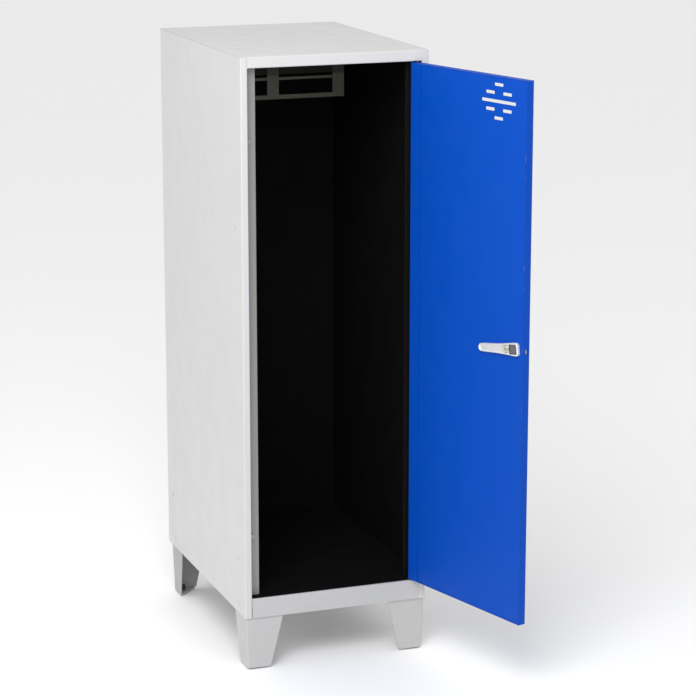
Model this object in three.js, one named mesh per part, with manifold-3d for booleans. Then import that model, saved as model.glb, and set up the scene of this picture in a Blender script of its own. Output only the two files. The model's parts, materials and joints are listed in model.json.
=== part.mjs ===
// A steel locker cabinet with one hinged door, four sheet-steel legs and a hanging rail.
//
// Millimetres, +Z up. The cabinet is drawn with its front face on y = 0, its middle on x = 0 and
// the ground on z = 0, and the whole group is then moved so that the origin is the bottom centre
// of its box, with the door standing open.

import * as THREE from 'three';
import { mergeVertices } from 'three/addons/utils/BufferGeometryUtils.js';
import Module from 'manifold-3d';

const wasm = await Module();
wasm.setup();

// ---------------------------------------------------------------- driving dimensions
const WIDTH = 350;
const DEPTH = 500;
const BODY_HEIGHT = 1020;
const LEG_HEIGHT = 100;
const SHEET = 1;
const GAP = 0.3;
const BEND_RADIUS = 1.2;
const BEND_STEPS = 4;
const CORNER_STEPS = 6;
const ROUND_STEPS = 24;
const SMALL_ROUND_STEPS = 12;

// Door frame: the folded front edges of the side panels, the header and the bottom rail.
const JAMB_WIDTH = 13;
const HEADER_HEIGHT = 20;
const RAIL_HEIGHT = 37;
const STOP_DEPTH = 22;
const STOP_WIDTH = 21;
const STOP_LIP = 8;
const BACK_FLANGE = 15;
const BUFFER_RADIUS = 4;
const BUFFER_FROM_JAMB = 6.5;
const BUFFER_FROM_END = 150;

// Door: a folded outer tray closed by a flat inner skin, on two pivot pins.
const DOOR_GAP = 2.5;
const DOOR_THICKNESS = 16;
const DOOR_OPEN_ANGLE = 106;
const PIVOT_INSET = 4.5;
const HINGE_LIP = 28;
const INNER_SKIN_RECESS = 1.3;
const PIN_RADIUS = 2.5;
const PIN_CHAMFER = 0.7;
const PIN_BACK = 7;
const PIN_REACH = 8.5;
const BUSH_RADIUS = 4.2;

// Vent slots: a diamond of seven slots near the top of the door. The slots of the outer skin lie
// nearer the hinge and a little lower, so that nothing can be poked straight in.
const VENT_CENTRE_FROM_HINGE = 243.5;
const VENT_STAGGER = 16.5;
const VENT_DROP = 3;
const VENT_CENTRE_HEIGHT = 955;
const VENT_PITCH = 14.4;
const VENT_SLOT_HEIGHT = 5.6;
const VENT_SHORT_SLOT = 23.5;
const VENT_LONG_SLOT = 91;
const VENT_SIDE_OFFSET = 22.7;

// Latch: a lever on each face of the door turns a crank that throws a flat bolt. The tongue of
// the lever droops a little below level with the bolt drawn back, and hangs straight down with
// the bolt out.
const LATCH_FROM_HINGE = 278.8;
const LATCH_HEIGHT = 531.5;
const LEVER_DROOP = 8;
const LEVER_TURN = 90 - LEVER_DROOP;
const LEVER_THICKNESS = 6;
const LEVER_STANDOFF = 0.5;
const LEVER_TONGUE = 75;
const LEVER_HEEL = 32;
const LEVER_HALF_HEIGHT = 11.7;
const LEVER_TIP_RADIUS = 7.2;
const LEVER_HEEL_CORNER = 6;
const LEVER_RIM = 2.6;
const LEVER_POCKET_DEPTH = 3;
const LEVER_POCKET_CORNER = 3.5;
const CAP_RADIUS = 6.7;
const CAP_SEAT = 2;
const CAP_PROUD = 1.5;
const CAP_SLOT_DEPTH = 1;
const CAP_SLOT_HALF_LENGTH = 4;
const CAP_SLOT_HALF_WIDTH = 0.8;
const SPINDLE_RADIUS = 4;
const CRANK_FRONT = 2.6;
const CRANK_RIM = 3;
const CRANK_PIN_RADIUS = 2;
const CRANK_PIN_PLAY = 0.5;
const BOLT_THROW = 12;
const BOLT_THICKNESS = 4;
const BOLT_FRONT = 5.5;
const BOLT_HALF_HEIGHT = 10;
const BOLT_NOSE_HALF_HEIGHT = 4.5;
const BOLT_SHOULDER = 9;
const BOLT_TAIL = 22;
const BOLT_HEEL_DROP = 15;
const STRIKE_CLEARANCE = 1.5;
const CASE_WALL = 1.2;
const CASE_HALF_HEIGHT = 19;
const CASE_TAIL = 26;

// Hanging rail: a slotted plate on three uprights, held by a folded bracket under the roof.
const RAIL_DISTANCE = 348;
const RAIL_HALF_LENGTH = 142;
const RAIL_BOTTOM = 895;
const RAIL_PLATE_HEIGHT = 41;
const RAIL_SHEET = 1.5;
const RAIL_LOWER_BAR = 8;
const RAIL_UPPER_BAR = 5;
const RAIL_END_BAR = 23;
const STEM_WIDTH = 23;
const BRACKET_FLANGE = 30;
const BRACKET_LIP = 6;
const RAIL_SCREW_DROP = 35;
const RAIL_SCREW_HEAD = 2.2;
const RAIL_SCREW_SHANK = 8;

// Legs: tapered angles with a foot plate and a levelling glide.
const LEG_SHEET = 1.5;
const LEG_TOP_WIDTH = 70;
const LEG_BOTTOM_WIDTH = 43.5;
const LEG_LEAN = 3;
const LEG_SETBACK = 2.5;
const LEG_PLATE_TRIM = 5;
const LEG_PLATE_CORNER = 20;
const LEG_TAB_START = 12;
const LEG_TAB_HEIGHT = 30;
const LEG_TAB_WIDTH = 44;
const REAR_LEG_INSET = 12;
const FOOT_PLATE_CORNER = 7;
const GLIDE_HEIGHT = 2.5;
const GLIDE_RADIUS = 10;
const GLIDE_PLACE = 17;
const GLIDE_STUD_RADIUS = 4;
const GLIDE_STUD_TOP = 14;

// Fasteners on the side panels.
const RIVET_RADIUS = 3.2;
const RIVET_HEAD = 1;
const RIVET_SHANK = 6;
const RIVET_FRONT = 43;
const RIVET_BACK = 466;
const RIVET_HEIGHTS = { upper: 715, lower: 105 };
const LEG_BOLT_HEIGHT = 19;
const LEG_BOLT_SHANK = 8;
const LEG_BOLT_FROM_CORNER = 34;

// ---------------------------------------------------------------- derived places
const SIDE = WIDTH / 2;
const BOTTOM = LEG_HEIGHT;
const TOP = LEG_HEIGHT + BODY_HEIGHT;
const OPENING_SIDE = SIDE - JAMB_WIDTH;
const OPENING_BOTTOM = BOTTOM + RAIL_HEIGHT;
const OPENING_TOP = TOP - HEADER_HEIGHT;
const INSIDE = SIDE - SHEET - GAP;
const ROOF_UNDERSIDE = TOP - SHEET - GAP;

const DOOR_SIDE = OPENING_SIDE - DOOR_GAP;
const DOOR_BOTTOM = OPENING_BOTTOM + DOOR_GAP;
const DOOR_TOP = OPENING_TOP - DOOR_GAP;
const PIVOT_X = DOOR_SIDE - PIVOT_INSET;
const PIVOT_Y = PIVOT_INSET;
const INNER_SKIN_FACE = DOOR_THICKNESS - INNER_SKIN_RECESS;

const LATCH_X = DOOR_SIDE - LATCH_FROM_HINGE;
const LATCH_Z = BOTTOM + LATCH_HEIGHT;
const VENT_X = DOOR_SIDE - VENT_CENTRE_FROM_HINGE;
const VENT_Z = BOTTOM + VENT_CENTRE_HEIGHT;

// The side and front of a leg's corner, measured into the cabinet from the body's own corner.
function legCorner(hand, end) {
  const y = end < 0 ? LEG_SETBACK : DEPTH - REAR_LEG_INSET - LEG_SETBACK;
  return [hand * (SIDE - LEG_SETBACK), y];
}

// ---------------------------------------------------------------- materials
function paint(color, roughness = 0.45) {
  return new THREE.MeshStandardMaterial({ color, roughness, metalness: 0 });
}

function metal(color, roughness) {
  return new THREE.MeshStandardMaterial({ color, roughness, metalness: 1 });
}

const greyPaint = paint(0xdadbdc);
const railPaint = paint(0x55554c, 0.5);
const bluePaint = paint(0x004ec4, 0.4);
const zincSteel = metal(0xb9bcbe, 0.35);
const castMetal = metal(0xc9cccf, 0.3);
const darkSteel = metal(0x6a6d70, 0.4);
const nylon = paint(0x2b2c2e, 0.6);
const rubber = paint(0x8a8984, 0.85);

// ---------------------------------------------------------------- shapes and solids
const X_AXIS = new THREE.Vector3(1, 0, 0);
const Y_AXIS = new THREE.Vector3(0, 1, 0);
const Z_AXIS = new THREE.Vector3(0, 0, 1);

// A slab whose outline is drawn in plan, between two heights.
function planSlab(shape, bottom, top) {
  const geometry = new THREE.ExtrudeGeometry(shape, { depth: top - bottom, bevelEnabled: false });
  return geometry.translate(0, 0, bottom);
}

// A slab whose outline is drawn in (x, z), between two distances from the front.
function frontSlab(shape, front, back, cornerSteps = CORNER_STEPS) {
  const geometry = new THREE.ExtrudeGeometry(shape, {
    depth: back - front,
    bevelEnabled: false,
    curveSegments: cornerSteps,
  });
  const turn = new THREE.Matrix4().makeBasis(X_AXIS, Z_AXIS, Y_AXIS.clone().negate());
  return geometry.applyMatrix4(turn).translate(0, back, 0);
}

// A slab whose outline is drawn in (y, z), between two places across the width.
function sideSlab(shape, left, right) {
  const geometry = new THREE.ExtrudeGeometry(shape, { depth: right - left, bevelEnabled: false });
  const turn = new THREE.Matrix4().makeBasis(Y_AXIS, Z_AXIS, X_AXIS);
  return geometry.applyMatrix4(turn).translate(left, 0, 0);
}

function block(low, high) {
  const size = high.map((value, i) => value - low[i]);
  const middle = high.map((value, i) => (value + low[i]) / 2);
  return new THREE.BoxGeometry(...size).translate(...middle);
}

function outline(points) {
  return new THREE.Shape(points.map(([a, b]) => new THREE.Vector2(a, b)));
}

function rectangle(left, low, right, high, radius = 0) {
  const shape = new THREE.Shape();
  if (radius === 0) {
    return outline([[left, low], [right, low], [right, high], [left, high]]);
  }
  shape.absarc(right - radius, low + radius, radius, -Math.PI / 2, 0);
  shape.absarc(right - radius, high - radius, radius, 0, Math.PI / 2);
  shape.absarc(left + radius, high - radius, radius, Math.PI / 2, Math.PI);
  shape.absarc(left + radius, low + radius, radius, Math.PI, 1.5 * Math.PI);
  return shape;
}

function leftNormal(from, to) {
  return new THREE.Vector2(from.y - to.y, to.x - from.x).normalize();
}

// The section of a folded sheet. The path is the sheet's right-hand face, and each bend is round.
function foldedSection(path, thickness) {
  const corners = path.map(([a, b]) => new THREE.Vector2(a, b));
  const middle = corners.map((corner, i) => {
    const before = leftNormal(corners[Math.max(i - 1, 0)], corners[Math.max(i, 1)]);
    const last = corners.length - 1;
    const after = leftNormal(corners[Math.min(i, last - 1)], corners[Math.min(i + 1, last)]);
    const mitre = before.clone().add(after).divideScalar(1 + before.dot(after));
    return corner.clone().addScaledVector(mitre, thickness / 2);
  });
  const radius = BEND_RADIUS + thickness / 2;
  const rightSide = [];
  const leftSide = [];
  const addPoint = (point, normal) => {
    rightSide.push(point.clone().addScaledVector(normal, -thickness / 2));
    leftSide.push(point.clone().addScaledVector(normal, thickness / 2));
  };
  middle.forEach((corner, i) => {
    if (i === 0) {
      addPoint(corner, leftNormal(corner, middle[1]));
      return;
    }
    if (i === middle.length - 1) {
      addPoint(corner, leftNormal(middle[i - 1], corner));
      return;
    }
    const before = leftNormal(middle[i - 1], corner);
    const after = leftNormal(corner, middle[i + 1]);
    const turn = Math.sign(before.cross(after));
    const centre = corner.clone().addScaledVector(before.clone().add(after), turn * radius);
    const startAngle = Math.atan2(-turn * before.y, -turn * before.x);
    for (let step = 0; step <= BEND_STEPS; step += 1) {
      const angle = startAngle + (turn * Math.PI * step) / (2 * BEND_STEPS);
      const spoke = new THREE.Vector2(Math.cos(angle), Math.sin(angle));
      addPoint(centre.clone().addScaledVector(spoke, radius), spoke.multiplyScalar(-turn));
    }
  });
  return new THREE.Shape([...rightSide, ...leftSide.reverse()]);
}

function toManifold(geometry) {
  const bare = geometry.clone();
  bare.deleteAttribute('normal');
  bare.deleteAttribute('uv');
  const merged = mergeVertices(bare, 1e-4);
  const vertProperties = new Float32Array(merged.attributes.position.array);
  const triVerts = new Uint32Array(merged.index.array);
  return new wasm.Manifold(new wasm.Mesh({ numProp: 3, vertProperties, triVerts }));
}

function fromManifold(body) {
  const { vertProperties, triVerts } = body.getMesh();
  const geometry = new THREE.BufferGeometry();
  geometry.setAttribute('position', new THREE.BufferAttribute(vertProperties, 3));
  geometry.setIndex(new THREE.BufferAttribute(triVerts, 1));
  const facets = geometry.toNonIndexed();
  facets.computeVertexNormals();
  return facets;
}

function joinAndCut(geometries, tools = []) {
  const joined = geometries.map(toManifold).reduce((whole, piece) => whole.add(piece));
  return fromManifold(tools.map(toManifold).reduce((whole, tool) => whole.subtract(tool), joined));
}

// Half-sections turned about an upright axis, given as [radius, height] pairs.
function turned(profile, segments = ROUND_STEPS) {
  const points = profile.map(([radius, height]) => new THREE.Vector2(radius, height));
  return new THREE.LatheGeometry(points, segments).rotateX(Math.PI / 2);
}

function rod(radius, bottom, top) {
  return turned([[0, bottom], [radius, bottom], [radius, top], [0, top]]);
}

// A rod along y, between two distances from the front, for the latch and its holes.
function crossRod(radius, front, back, x, z) {
  const length = back - front;
  const geometry = new THREE.CylinderGeometry(radius, radius, length, ROUND_STEPS);
  return geometry.translate(x, front + length / 2, z);
}

function sideRod(radius, left, right, y, z) {
  const length = right - left;
  const geometry = new THREE.CylinderGeometry(radius, radius, length, SMALL_ROUND_STEPS);
  return geometry.rotateZ(-Math.PI / 2).translate(left + length / 2, y, z);
}

function named(name, geometry, material) {
  const mesh = new THREE.Mesh(geometry, material);
  mesh.name = name;
  return mesh;
}

const cabinet = new THREE.Group();

// ---------------------------------------------------------------- cabinet body
// One bent sheet: back flange, side, jamb face, jamb return, stop flange and stiffening lip.
function sidePanelPath(hand) {
  const path = [
    [-SIDE + BACK_FLANGE, DEPTH],
    [-SIDE, DEPTH],
    [-SIDE, 0],
    [-OPENING_SIDE, 0],
    [-OPENING_SIDE, STOP_DEPTH],
    [-OPENING_SIDE + STOP_WIDTH, STOP_DEPTH],
    [-OPENING_SIDE + STOP_WIDTH, STOP_DEPTH + STOP_LIP],
  ];
  return hand < 0 ? path : path.map(([x, y]) => [-x, y]).reverse();
}

function sidePanel(hand) {
  const sheet = planSlab(foldedSection(sidePanelPath(hand), SHEET), BOTTOM, ROOF_UNDERSIDE);
  const inner = hand * (OPENING_SIDE - STOP_WIDTH - SHEET);
  const outer = hand * (OPENING_SIDE + SHEET + BEND_RADIUS + GAP);
  const railNotch = block(
    [Math.min(inner, outer), SHEET + GAP, BOTTOM - 1],
    [Math.max(inner, outer), STOP_DEPTH + STOP_LIP + 1, OPENING_BOTTOM + GAP],
  );
  const cuts = [railNotch];
  const screwPlaces = [
    [RIVET_FRONT, BOTTOM + RIVET_HEIGHTS.upper],
    [RIVET_BACK, BOTTOM + RIVET_HEIGHTS.upper],
    [RIVET_FRONT, BOTTOM + RIVET_HEIGHTS.lower],
    [RIVET_BACK, BOTTOM + RIVET_HEIGHTS.lower],
    [legBoltDistance(-1), BOTTOM + LEG_BOLT_HEIGHT],
    [legBoltDistance(1), BOTTOM + LEG_BOLT_HEIGHT],
  ];
  for (const [y, z] of screwPlaces) {
    const left = Math.min(hand * (SIDE - 2 * SHEET), hand * (SIDE + SHEET));
    const right = left + 3 * SHEET;
    cuts.push(sideRod(RIVET_RADIUS / 2 + GAP, left, right, y, z));
  }
  if (hand < 0) {
    cuts.push(boltSlot(-OPENING_SIDE - 2 * SHEET, -OPENING_SIDE + SHEET, STRIKE_CLEARANCE));
  }
  return joinAndCut([sheet], cuts);
}

// A slot that the latch bolt passes through, in an upright sheet that faces sideways.
function boltSlot(left, right, clearance) {
  return block(
    [left, BOLT_FRONT - clearance, LATCH_Z - BOLT_NOSE_HALF_HEIGHT - clearance],
    [right, BOLT_FRONT + BOLT_THICKNESS + clearance, LATCH_Z + BOLT_NOSE_HALF_HEIGHT + clearance],
  );
}

// Distance of a leg's bolt from the cabinet's front: end is -1 at the front and 1 at the back.
function legBoltDistance(end) {
  const [, cornerDistance] = legCorner(1, end);
  return cornerDistance - end * LEG_BOLT_FROM_CORNER;
}

function topPanel() {
  const path = [
    [DEPTH, TOP - BACK_FLANGE],
    [DEPTH, TOP],
    [0, TOP],
    [0, OPENING_TOP],
    [STOP_DEPTH - SHEET, OPENING_TOP],
    [STOP_DEPTH - SHEET, OPENING_TOP + STOP_LIP],
  ];
  const sheet = sideSlab(foldedSection(path, SHEET), -SIDE, SIDE);
  const jambSpace = OPENING_SIDE - GAP;
  const backSpace = SIDE - BACK_FLANGE - GAP;
  const cuts = [crossHole(PIVOT_X, PIVOT_Y, OPENING_TOP)];
  for (const hand of [-1, 1]) {
    const far = hand * (SIDE + 1);
    for (const [near, front, back] of [[jambSpace, -1, DEPTH / 2], [backSpace, DEPTH / 2, DEPTH + 1]]) {
      cuts.push(block(
        [Math.min(hand * near, far), front, OPENING_TOP - 1],
        [Math.max(hand * near, far), back, ROOF_UNDERSIDE + GAP / 2],
      ));
    }
  }
  return joinAndCut([sheet], cuts);
}

// A hole for a pivot pin through a level sheet.
function crossHole(x, y, z) {
  const reach = SHEET + BEND_RADIUS + GAP;
  return rod(PIN_RADIUS + GAP, z - reach, z + reach).translate(x, y, 0);
}

function basePanel() {
  const back = DEPTH - 2 * SHEET - 2 * GAP;
  const path = [
    [back, BOTTOM + SHEET],
    [back, OPENING_BOTTOM],
    [0, OPENING_BOTTOM],
    [0, BOTTOM],
  ];
  const sheet = sideSlab(foldedSection(path, SHEET), -INSIDE, INSIDE);
  const cuts = [crossHole(PIVOT_X, PIVOT_Y, OPENING_BOTTOM)];
  for (const hand of [-1, 1]) {
    const near = hand * (OPENING_SIDE - GAP);
    const far = hand * SIDE;
    cuts.push(block(
      [Math.min(near, far), -1, BOTTOM - 1],
      [Math.max(near, far), SHEET + GAP, OPENING_BOTTOM + 1],
    ));
  }
  return joinAndCut([sheet], cuts);
}

cabinet.add(named('side_panel_left', sidePanel(-1), greyPaint));
cabinet.add(named('side_panel_right', sidePanel(1), greyPaint));
cabinet.add(named('top_panel', topPanel(), greyPaint));
cabinet.add(named('base_panel', basePanel(), greyPaint));

const backPanelFront = DEPTH - 2 * SHEET - GAP;
const backPanel = block(
  [-INSIDE + BEND_RADIUS, backPanelFront, BOTTOM],
  [INSIDE - BEND_RADIUS, backPanelFront + SHEET, ROOF_UNDERSIDE - BEND_RADIUS],
);
cabinet.add(named('back_panel', backPanel, greyPaint));

// Blind rivets join the side panels to the inside, with their heads outside.
function sideRivet(hand, y, z, shankLength) {
  const profile = [
    [0, 0],
    [RIVET_RADIUS, 0],
    [RIVET_RADIUS, RIVET_HEAD * 0.4],
    [RIVET_RADIUS * 0.7, RIVET_HEAD],
    [0, RIVET_HEAD],
  ];
  const head = turned(profile, SMALL_ROUND_STEPS).rotateY((hand * Math.PI) / 2);
  head.translate(hand * (SIDE + GAP), y, z);
  const reach = hand * (SIDE - shankLength);
  const near = hand * (SIDE + RIVET_HEAD / 2);
  const shank = sideRod(RIVET_RADIUS / 2, Math.min(reach, near), Math.max(reach, near), y, z);
  return joinAndCut([head, shank]);
}

const handNames = { left: -1, right: 1 };
const endNames = { front: -1, rear: 1 };

for (const [handName, hand] of Object.entries(handNames)) {
  for (const [level, height] of Object.entries(RIVET_HEIGHTS)) {
    for (const [endName, end] of Object.entries(endNames)) {
      const y = end < 0 ? RIVET_FRONT : RIVET_BACK;
      const rivet = sideRivet(hand, y, BOTTOM + height, RIVET_SHANK);
      cabinet.add(named(`side_rivet_${level}_${endName}_${handName}`, rivet, greyPaint));
    }
  }
}

// ---------------------------------------------------------------- legs
// The front left leg, with its corner on the origin. The other legs are mirror images of it.
function legGeometry(hand, end) {
  const path = [[LEG_TOP_WIDTH, 0], [0, 0], [0, LEG_TOP_WIDTH]];
  const upright = planSlab(
    foldedSection(path.slice().reverse(), LEG_SHEET),
    GLIDE_HEIGHT,
    LEG_HEIGHT - GAP,
  );
  const taper = outline([
    [LEG_TOP_WIDTH, LEG_HEIGHT],
    [LEG_BOTTOM_WIDTH, 0],
    [2 * LEG_TOP_WIDTH, 0],
    [2 * LEG_TOP_WIDTH, LEG_HEIGHT],
  ]);
  const cuts = [
    frontSlab(taper, -1, LEG_TOP_WIDTH + 1),
    sideSlab(taper, -1, LEG_TOP_WIDTH + 1),
  ];
  const lean = LEG_LEAN / LEG_HEIGHT;
  const shear = new THREE.Matrix4().set(
    1, 0, -lean, LEG_LEAN,
    0, 1, -lean, LEG_LEAN,
    0, 0, 1, 0,
    0, 0, 0, 1,
  );
  const angle = joinAndCut([upright], cuts).applyMatrix4(shear);
  const plateBottom = LEG_HEIGHT - GAP - LEG_SHEET;
  const plateFar = LEG_TOP_WIDTH - LEG_PLATE_TRIM;
  const plateNear = LEG_SHEET / 2;
  const tabSide = SHEET + GAP - LEG_SETBACK;
  const plateOutline = outline([
    [tabSide, plateNear],
    [plateFar, plateNear],
    [plateFar, LEG_PLATE_CORNER],
    [LEG_PLATE_CORNER, plateFar],
    [tabSide, plateFar],
  ]);
  const topPlate = planSlab(plateOutline, plateBottom, LEG_HEIGHT - GAP);
  const tab = block(
    [tabSide, LEG_TAB_START, plateBottom],
    [tabSide + LEG_SHEET, LEG_TAB_START + LEG_TAB_WIDTH, LEG_HEIGHT + LEG_TAB_HEIGHT],
  );
  const boltHole = sideRod(
    RIVET_RADIUS + GAP,
    tabSide - 1,
    tabSide + LEG_SHEET + 1,
    LEG_BOLT_FROM_CORNER,
    LEG_HEIGHT + LEG_BOLT_HEIGHT,
  );
  return mirrored(joinAndCut([angle, topPlate, tab], [boltHole]), hand, end);
}

// Places a front left corner piece at another corner of the cabinet.
function mirrored(geometry, hand, end) {
  const flip = new THREE.Matrix4().makeScale(-hand, -end, 1);
  const copy = geometry.clone().applyMatrix4(flip);
  if (hand * end < 0) {
    const corners = copy.attributes.position;
    for (let i = 0; i < corners.count; i += 3) {
      const first = new THREE.Vector3().fromBufferAttribute(corners, i);
      const last = new THREE.Vector3().fromBufferAttribute(corners, i + 2);
      corners.setXYZ(i, last.x, last.y, last.z);
      corners.setXYZ(i + 2, first.x, first.y, first.z);
    }
    copy.computeVertexNormals();
  }
  return copy.translate(...legCorner(hand, end), 0);
}

function footPlate(hand, end) {
  const near = LEG_LEAN + LEG_SHEET + GAP;
  const far = LEG_BOTTOM_WIDTH - 2;
  const corner = near + FOOT_PLATE_CORNER;
  const shape = outline([[near, near], [far, near], [far, corner], [corner, far], [near, far]]);
  const plate = planSlab(shape, GLIDE_HEIGHT, GLIDE_HEIGHT + LEG_SHEET);
  const hole = rod(GLIDE_STUD_RADIUS + GAP, 0, 2 * GLIDE_HEIGHT + LEG_SHEET);
  hole.translate(GLIDE_PLACE, GLIDE_PLACE, 0);
  return mirrored(joinAndCut([plate], [hole]), hand, end);
}

function footGlide(hand, end) {
  const profile = [
    [0, 0],
    [GLIDE_RADIUS - 1, 0],
    [GLIDE_RADIUS, 0.8],
    [GLIDE_RADIUS, GLIDE_HEIGHT - GAP],
    [GLIDE_STUD_RADIUS, GLIDE_HEIGHT - GAP],
    [GLIDE_STUD_RADIUS, GLIDE_STUD_TOP - 1],
    [GLIDE_STUD_RADIUS - 1, GLIDE_STUD_TOP],
    [0, GLIDE_STUD_TOP],
  ];
  const [x, y] = legCorner(hand, end);
  return turned(profile).translate(x - hand * GLIDE_PLACE, y - end * GLIDE_PLACE, 0);
}

for (const [endName, end] of Object.entries(endNames)) {
  for (const [handName, hand] of Object.entries(handNames)) {
    const place = `${endName}_${handName}`;
    cabinet.add(named(`leg_${place}`, legGeometry(hand, end), greyPaint));
    cabinet.add(named(`foot_plate_${place}`, footPlate(hand, end), greyPaint));
    cabinet.add(named(`foot_glide_${place}`, footGlide(hand, end), nylon));
    const bolt = sideRivet(hand, legBoltDistance(end), BOTTOM + LEG_BOLT_HEIGHT, LEG_BOLT_SHANK);
    cabinet.add(named(`leg_bolt_${place}`, bolt, greyPaint));
  }
}

// ---------------------------------------------------------------- hanging rail
const railBottom = BOTTOM + RAIL_BOTTOM;
const railTop = railBottom + RAIL_PLATE_HEIGHT;
const railScrewHeight = TOP - RAIL_SCREW_DROP;
const uprightPlaces = { left: -1, centre: 0, right: 1 };

// The middle of an upright, across the cabinet.
function uprightMiddle(place) {
  return place * (RAIL_HALF_LENGTH - RAIL_END_BAR / 2);
}

function hangingRail() {
  const stem = STEM_WIDTH / 2;
  const inner = RAIL_HALF_LENGTH - RAIL_END_BAR;
  const uprightTop = ROOF_UNDERSIDE - 2 * SHEET - BEND_RADIUS;
  const face = rectangle(-RAIL_HALF_LENGTH, railBottom, RAIL_HALF_LENGTH, uprightTop);
  const windowHeights = [
    [railBottom + RAIL_LOWER_BAR, railTop - RAIL_UPPER_BAR],
    [railTop, uprightTop + 1],
  ];
  const cuts = [];
  for (const hand of [-1, 1]) {
    const near = hand * stem;
    const far = hand * inner;
    for (const [low, high] of windowHeights) {
      const window = rectangle(Math.min(near, far), low, Math.max(near, far), high);
      cuts.push(frontSlab(window, RAIL_DISTANCE - 1, RAIL_DISTANCE + RAIL_SHEET + 1));
    }
  }
  for (const place of Object.values(uprightPlaces)) {
    cuts.push(railScrewHole(place));
  }
  return joinAndCut([frontSlab(face, RAIL_DISTANCE, RAIL_DISTANCE + RAIL_SHEET)], cuts);
}

function railScrewHole(place) {
  const front = RAIL_DISTANCE - RAIL_SHEET;
  const back = RAIL_DISTANCE + 3 * RAIL_SHEET;
  return crossRod(RIVET_RADIUS / 2 + GAP, front, back, uprightMiddle(place), railScrewHeight);
}

// The bracket hangs from the roof by its top flange, behind the uprights.
function railBracket() {
  const front = RAIL_DISTANCE + RAIL_SHEET + GAP;
  const low = railTop + RAIL_UPPER_BAR;
  const path = [
    [front + BRACKET_LIP, low],
    [front, low],
    [front, ROOF_UNDERSIDE],
    [front + BRACKET_FLANGE, ROOF_UNDERSIDE],
  ];
  const section = foldedSection(path.slice().reverse(), SHEET);
  return joinAndCut(
    [sideSlab(section, -RAIL_HALF_LENGTH, RAIL_HALF_LENGTH)],
    Object.values(uprightPlaces).map(railScrewHole),
  );
}

function railScrew(place) {
  const profile = [
    [0, 0],
    [RIVET_RADIUS / 2, 0],
    [RIVET_RADIUS / 2, RAIL_SCREW_SHANK],
    [RIVET_RADIUS, RAIL_SCREW_SHANK],
    [RIVET_RADIUS, RAIL_SCREW_SHANK + RAIL_SCREW_HEAD * 0.5],
    [RIVET_RADIUS * 0.7, RAIL_SCREW_SHANK + RAIL_SCREW_HEAD],
    [0, RAIL_SCREW_SHANK + RAIL_SCREW_HEAD],
  ];
  const screw = turned(profile, SMALL_ROUND_STEPS).rotateX(Math.PI / 2);
  const tip = RAIL_DISTANCE - GAP + RAIL_SCREW_SHANK;
  return screw.translate(uprightMiddle(place), tip, railScrewHeight);
}

cabinet.add(named('rail_bracket', railBracket(), railPaint));
cabinet.add(named('hanger_rail', hangingRail(), railPaint));
for (const [placeName, place] of Object.entries(uprightPlaces)) {
  cabinet.add(named(`rail_screw_${placeName}`, railScrew(place), zincSteel));
}

// ---------------------------------------------------------------- door
// The door is drawn closed, about its pivot axis, and its group is turned to the open pose.
const door = new THREE.Group();
door.position.set(PIVOT_X, PIVOT_Y, 0);
door.rotation.z = THREE.MathUtils.degToRad(DOOR_OPEN_ANGLE);
cabinet.add(door);

function addToDoor(name, geometry, material) {
  door.add(named(name, geometry.translate(-PIVOT_X, -PIVOT_Y, 0), material));
}

function ventCuts(front, back, stagger = 0, drop = 0) {
  const short = VENT_SHORT_SLOT / 2;
  const rows = [
    [2, 0, short],
    [1, -VENT_SIDE_OFFSET, short],
    [1, VENT_SIDE_OFFSET, short],
    [0, 0, VENT_LONG_SLOT / 2],
    [-1, -VENT_SIDE_OFFSET, short],
    [-1, VENT_SIDE_OFFSET, short],
    [-2, 0, short],
  ];
  return rows.map(([row, offset, half]) => {
    const x = VENT_X + offset + stagger;
    const z = VENT_Z + row * VENT_PITCH - drop;
    const halfHeight = VENT_SLOT_HEIGHT / 2;
    const slot = rectangle(x - half, z - halfHeight, x + half, z + halfHeight, 1);
    return frontSlab(slot, front, back, 2);
  });
}

function spindleHole(front, back) {
  return crossRod(SPINDLE_RADIUS + 2 * GAP, front, back, LATCH_X, LATCH_Z);
}

// The outer tray: front face, four flanges and a wide lip along the hinge side.
function doorTray() {
  const section = [
    [-DOOR_SIDE, DOOR_THICKNESS],
    [-DOOR_SIDE, 0],
    [DOOR_SIDE, 0],
    [DOOR_SIDE, DOOR_THICKNESS],
    [DOOR_SIDE - HINGE_LIP, DOOR_THICKNESS],
  ];
  const wrap = planSlab(foldedSection(section, SHEET), DOOR_BOTTOM, DOOR_TOP);
  const edge = SHEET / 2;
  const ends = [DOOR_BOTTOM, DOOR_TOP - SHEET].map((low) => block(
    [-DOOR_SIDE + edge, edge, low],
    [DOOR_SIDE - edge, DOOR_THICKNESS - edge, low + SHEET],
  ));
  const bushHoles = [DOOR_BOTTOM, DOOR_TOP].map(
    (z) => rod(BUSH_RADIUS - 1 + GAP, z - 4, z + 4).translate(PIVOT_X, PIVOT_Y, 0),
  );
  return joinAndCut([wrap, ...ends], [
    ...bushHoles,
    ...ventCuts(-1, 3 * SHEET, VENT_STAGGER, VENT_DROP),
    spindleHole(-1, 3 * SHEET),
    boltSlot(-DOOR_SIDE - 1, -DOOR_SIDE + 2 * SHEET, 2 * GAP),
  ]);
}

function doorSkin() {
  const side = SHEET + GAP;
  const face = rectangle(
    -DOOR_SIDE + side,
    DOOR_BOTTOM + side,
    DOOR_SIDE - side - 2 * BUSH_RADIUS,
    DOOR_TOP - side,
  );
  const front = INNER_SKIN_FACE - SHEET;
  return joinAndCut([frontSlab(face, front, INNER_SKIN_FACE)], [
    ...ventCuts(front - 1, INNER_SKIN_FACE + 1),
    spindleHole(front - 1, INNER_SKIN_FACE + 1),
  ]);
}

addToDoor('door_tray', doorTray(), bluePaint);
addToDoor('door_inner_skin', doorSkin(), bluePaint);

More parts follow.
